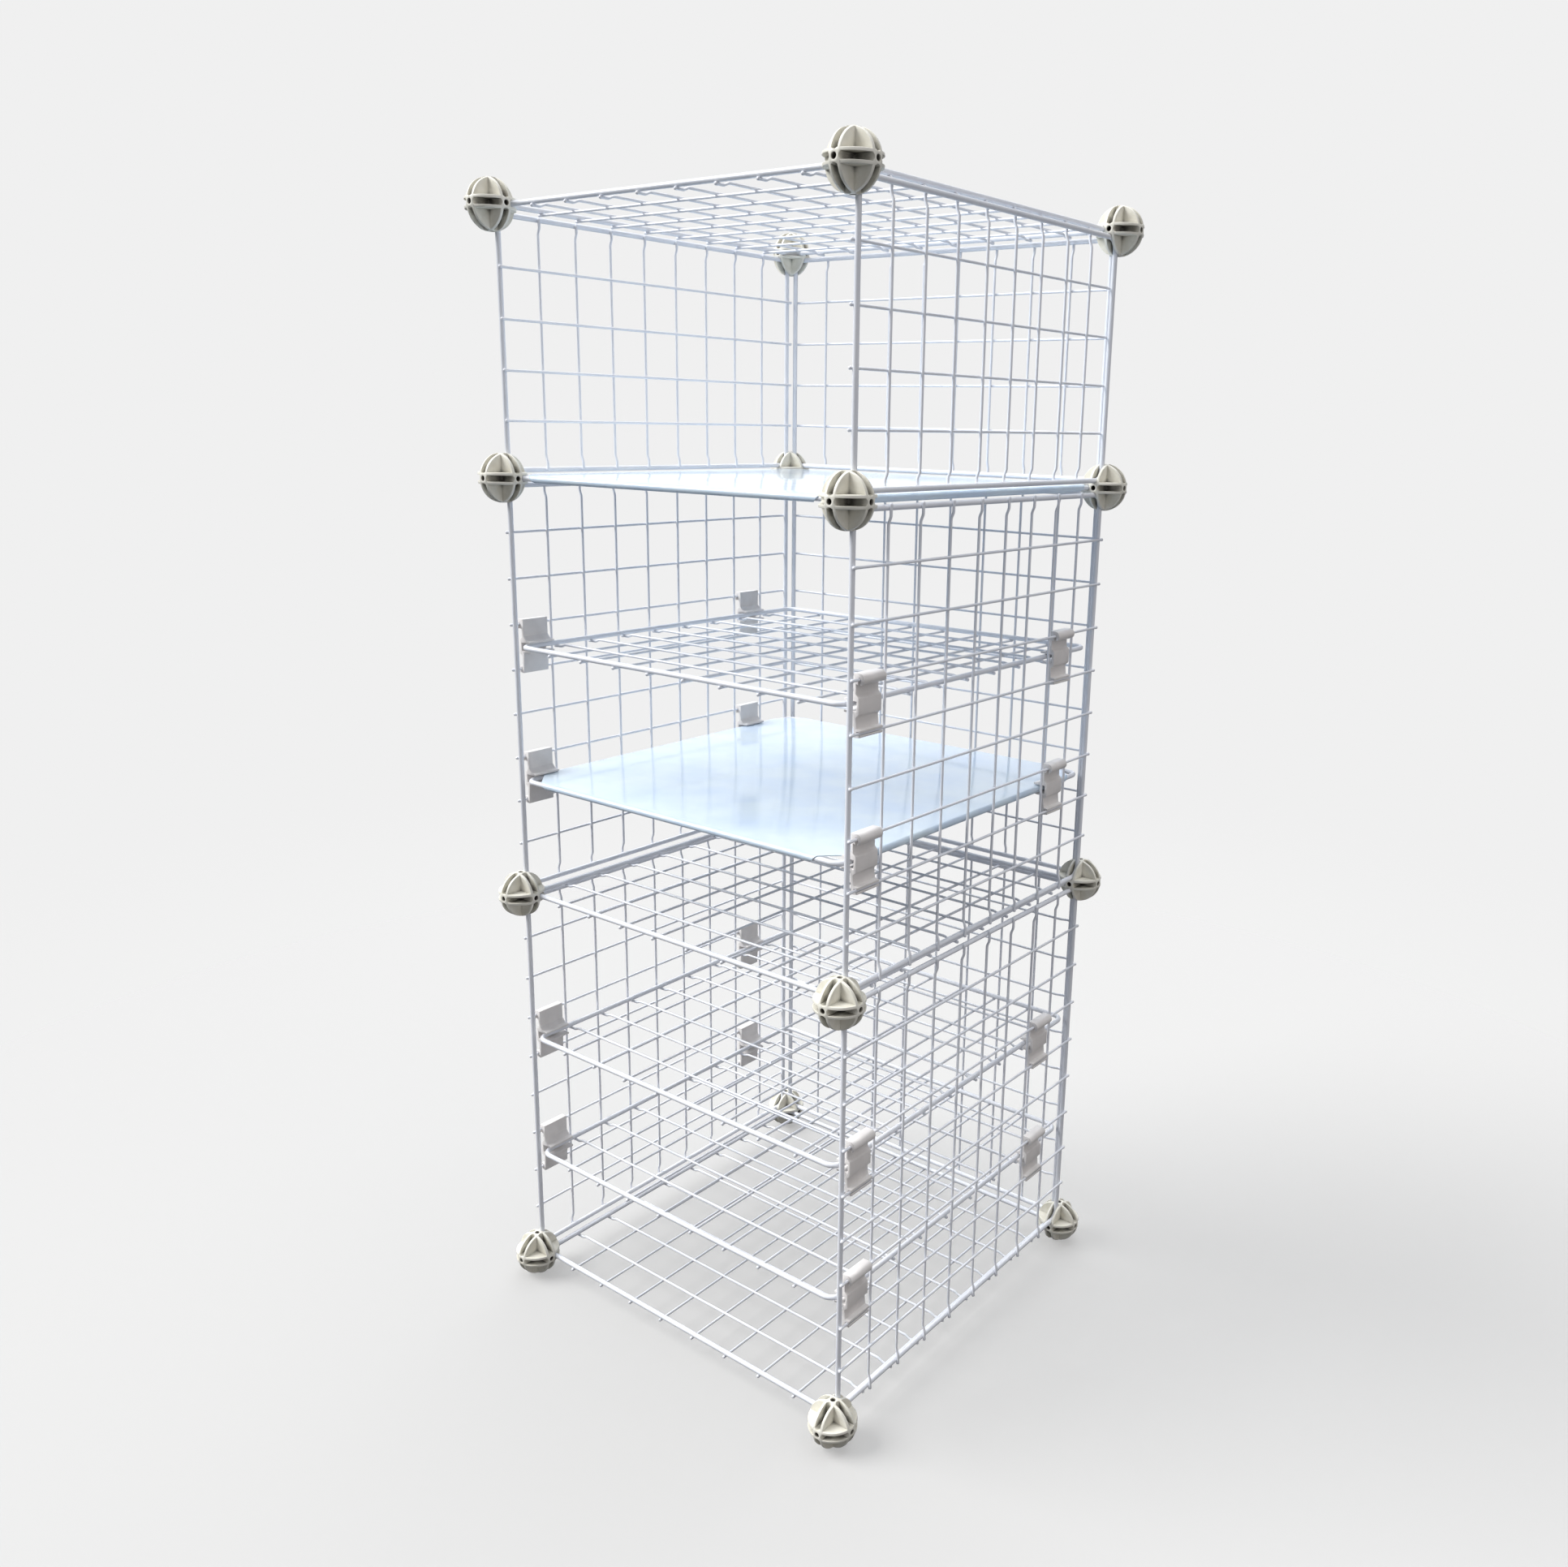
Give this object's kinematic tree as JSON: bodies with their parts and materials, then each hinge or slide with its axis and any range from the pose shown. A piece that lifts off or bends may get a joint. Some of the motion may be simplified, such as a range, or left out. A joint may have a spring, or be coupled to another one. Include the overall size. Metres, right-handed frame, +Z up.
{
  "type": "cube storage unit",
  "caption": "Open-fronted wire storage tower: ball connectors hold grid and plastic sheet panels in three tiers, with shelves that slide into clips on the side walls.",
  "frame": {"origin": "centre of the base, on the floor", "axes": "+Z up, +X to the right seen from the open front, -Y towards the open front"},
  "size_m": [0.3972, 0.3972, 0.9625],
  "materials": {
    "ball_abs": "satin moulded ABS, warm off-white",
    "clip_plastic": "satin extruded plastic, light grey-white",
    "pp_sheet": "glossy milky polypropylene sheet",
    "coated_wire": "white dip-coated steel wire, semi-gloss"
  },
  "bodies": {
    "tower": {"ball_base_back_left": "ball_abs", "ball_base_back_right": "ball_abs", "ball_base_front_left": "ball_abs", "ball_base_front_right": "ball_abs", "ball_lower_back_left": "ball_abs", "ball_lower_back_right": "ball_abs", "ball_lower_front_left": "ball_abs", "ball_lower_front_right": "ball_abs", "ball_top_back_left": "ball_abs", "ball_top_back_right": "ball_abs", "ball_top_front_left": "ball_abs", "ball_top_front_right": "ball_abs", "ball_upper_back_left": "ball_abs", "ball_upper_back_right": "ball_abs", "ball_upper_front_left": "ball_abs", "ball_upper_front_right": "ball_abs", "base_grid": "coated_wire", "bottom_back_wall": "coated_wire", "bottom_left_wall": "coated_wire", "bottom_right_wall": "coated_wire", "clip_bottom_high_back_left": "clip_plastic", "clip_bottom_high_back_right": "clip_plastic", "clip_bottom_high_front_left": "clip_plastic", "clip_bottom_high_front_right": "clip_plastic", "clip_bottom_low_back_left": "clip_plastic", "clip_bottom_low_back_right": "clip_plastic", "clip_bottom_low_front_left": "clip_plastic", "clip_bottom_low_front_right": "clip_plastic", "clip_middle_high_back_left": "clip_plastic", "clip_middle_high_back_right": "clip_plastic", "clip_middle_high_front_left": "clip_plastic", "clip_middle_high_front_right": "clip_plastic", "clip_middle_low_back_left": "clip_plastic", "clip_middle_low_back_right": "clip_plastic", "clip_middle_low_front_left": "clip_plastic", "clip_middle_low_front_right": "clip_plastic", "lower_deck_grid": "coated_wire", "middle_back_wall": "coated_wire", "middle_left_wall": "coated_wire", "middle_right_wall": "coated_wire", "top_back_wall": "coated_wire", "top_grid": "coated_wire", "top_left_wall": "coated_wire", "top_right_wall": "coated_wire", "upper_deck_frame": "coated_wire", "upper_deck_sheet": "pp_sheet"},
    "bottom_low_shelf": {"bottom_low_shelf": "coated_wire"},
    "bottom_high_shelf": {"bottom_high_shelf": "coated_wire"},
    "middle_low_shelf": {"middle_low_shelf_frame": "coated_wire", "middle_low_shelf_sheet": "pp_sheet"},
    "middle_high_shelf": {"middle_high_shelf": "coated_wire"}
  },
  "joints": [
    {"name": "bottom_low_shelf_slide", "type": "slide", "parent": "tower", "child": "bottom_low_shelf", "axis": [0, -1, 0], "range_m": [0, 0.38]},
    {"name": "bottom_high_shelf_slide", "type": "slide", "parent": "tower", "child": "bottom_high_shelf", "axis": [0, -1, 0], "range_m": [0, 0.38]},
    {"name": "middle_low_shelf_slide", "type": "slide", "parent": "tower", "child": "middle_low_shelf", "axis": [0, -1, 0], "range_m": [0, 0.38]},
    {"name": "middle_high_shelf_slide", "type": "slide", "parent": "tower", "child": "middle_high_shelf", "axis": [0, -1, 0], "range_m": [0, 0.38]}
  ]
}
